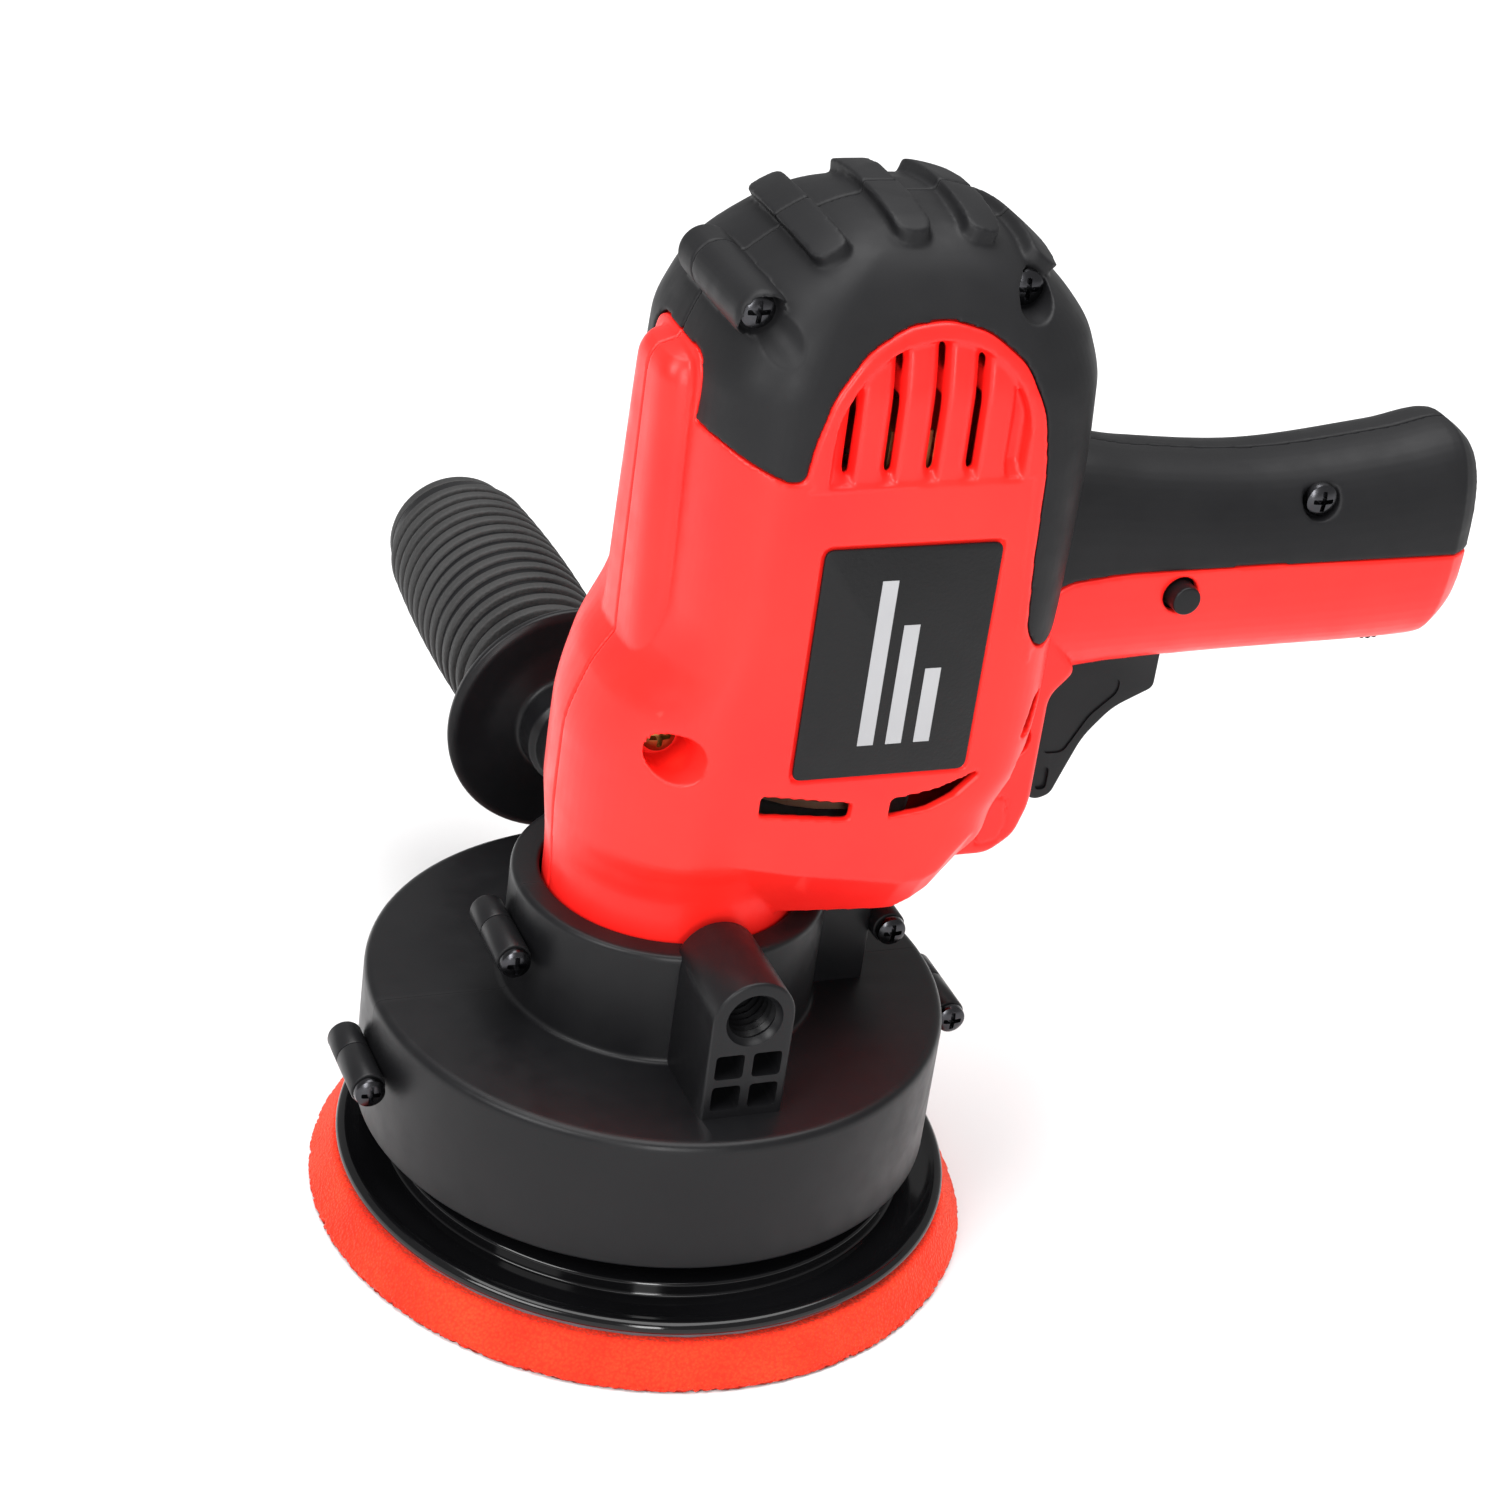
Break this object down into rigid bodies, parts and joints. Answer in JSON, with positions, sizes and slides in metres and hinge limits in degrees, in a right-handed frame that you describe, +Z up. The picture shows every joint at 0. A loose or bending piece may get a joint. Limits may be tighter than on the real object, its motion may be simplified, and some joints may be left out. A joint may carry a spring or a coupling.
{
  "type": "dual action polisher",
  "caption": "Electric car polisher with a pistol handle, side handle, motor barrel over a drum shroud, and a round foam pad on an eccentric drive.",
  "frame": {"origin": "point where the output spindle's axis meets the working face of the foam pad", "axes": "+Z up along the output spindle, +X along the pistol handle, +Y towards the fitted side handle; the housing halves part on y = 0"},
  "size_m": [0.256, 0.254, 0.245],
  "materials": {
    "red_plastic": "satin moulded",
    "soft_cover": "soft-touch overmould",
    "dark_plastic": "satin moulded",
    "gloss_plastic": "polished",
    "foam": "open-cell foam",
    "steel": "ground",
    "black_steel": "black oxide",
    "lamination": "varnished laminations",
    "copper": "enamelled copper",
    "brass": "pressed",
    "alloy": "die cast",
    "carbon": "pressed graphite",
    "rubber": "matt",
    "nylon": "moulded"
  },
  "bodies": {
    "housing": {"housing_left": "red_plastic", "housing_right": "red_plastic", "grip_cover_left": "soft_cover", "grip_cover_right": "soft_cover", "label_plate_left": "soft_cover", "label_plate_right": "soft_cover", "housing_screw_1": "black_steel", "housing_screw_2": "black_steel", "housing_screw_3": "black_steel", "housing_screw_4": "black_steel", "housing_screw_5": "black_steel", "shroud_left": "dark_plastic", "shroud_right": "dark_plastic", "shroud_screw_1": "black_steel", "shroud_screw_2": "black_steel", "shroud_screw_3": "black_steel", "shroud_screw_4": "black_steel", "side_handle_grip": "dark_plastic", "side_handle_cap": "rubber", "side_handle_stud": "steel", "bearing_bracket": "alloy", "spindle_bearing_upper": "steel", "spindle_bearing_lower": "steel", "armature_bearing_lower": "steel", "armature_bearing_upper": "steel", "bearing_sleeve": "rubber", "stator_core": "lamination", "field_coil_lower": "copper", "field_coil_upper": "copper", "fan_baffle": "nylon", "brush_holder_left": "brass", "brush_holder_right": "brass", "carbon_brush_left": "carbon", "carbon_brush_right": "carbon", "brush_spring_left": "steel", "brush_spring_right": "steel", "switch_body": "nylon", "cord_inlet": "rubber", "cord_clamp": "nylon"},
    "armature": {"armature_shaft": "steel", "armature_pinion": "steel", "armature_core": "lamination", "armature_winding_lower": "copper", "armature_winding_upper": "copper", "commutator": "copper", "cooling_fan": "nylon"},
    "spindle": {"output_spindle": "steel", "drive_gear": "steel", "spindle_spacer": "steel", "eccentric_hub": "alloy", "counterweight": "black_steel", "pad_bearing": "steel"},
    "pad": {"pad_spindle": "steel", "backing_plate": "gloss_plastic", "plate_screw": "steel", "hook_disc": "nylon", "foam_pad": "foam"},
    "trigger": {"trigger": "dark_plastic"},
    "lock_button": {"lock_button": "dark_plastic"},
    "speed_dial": {"speed_dial": "dark_plastic"}
  },
  "joints": [
    {"name": "spindle_spin", "type": "hinge", "parent": "housing", "child": "spindle", "pos_m": [0, 0, 0.07], "axis": [0, 0, 1], "continuous": true},
    {"name": "armature_spin", "type": "hinge", "parent": "housing", "child": "armature", "pos_m": [0.028, 0, 0.15], "axis": [0, 0, 1], "continuous": true},
    {"name": "pad_spin", "type": "hinge", "parent": "spindle", "child": "pad", "pos_m": [0, -0.004, 0.0326], "axis": [0, 0, 1], "continuous": true},
    {"name": "trigger_pull", "type": "slide", "parent": "housing", "child": "trigger", "axis": [0, 0, 1], "range_m": [0, 0.006], "stiffness_N_per_m": 500, "springref_m": -0.004},
    {"name": "lock_button_push", "type": "slide", "parent": "housing", "child": "lock_button", "axis": [0, 1, 0], "range_m": [0, 0.003], "stiffness_N_per_m": 500, "springref_m": -0.003},
    {"name": "speed_dial_turn", "type": "hinge", "parent": "housing", "child": "speed_dial", "pos_m": [0.1635, 0, 0.1405], "axis": [0, 1, 0], "range_deg": [-135, 135]}
  ],
  "couplings": [
    {"joint": "armature_spin", "follows": "spindle_spin", "ratio": -6}
  ]
}
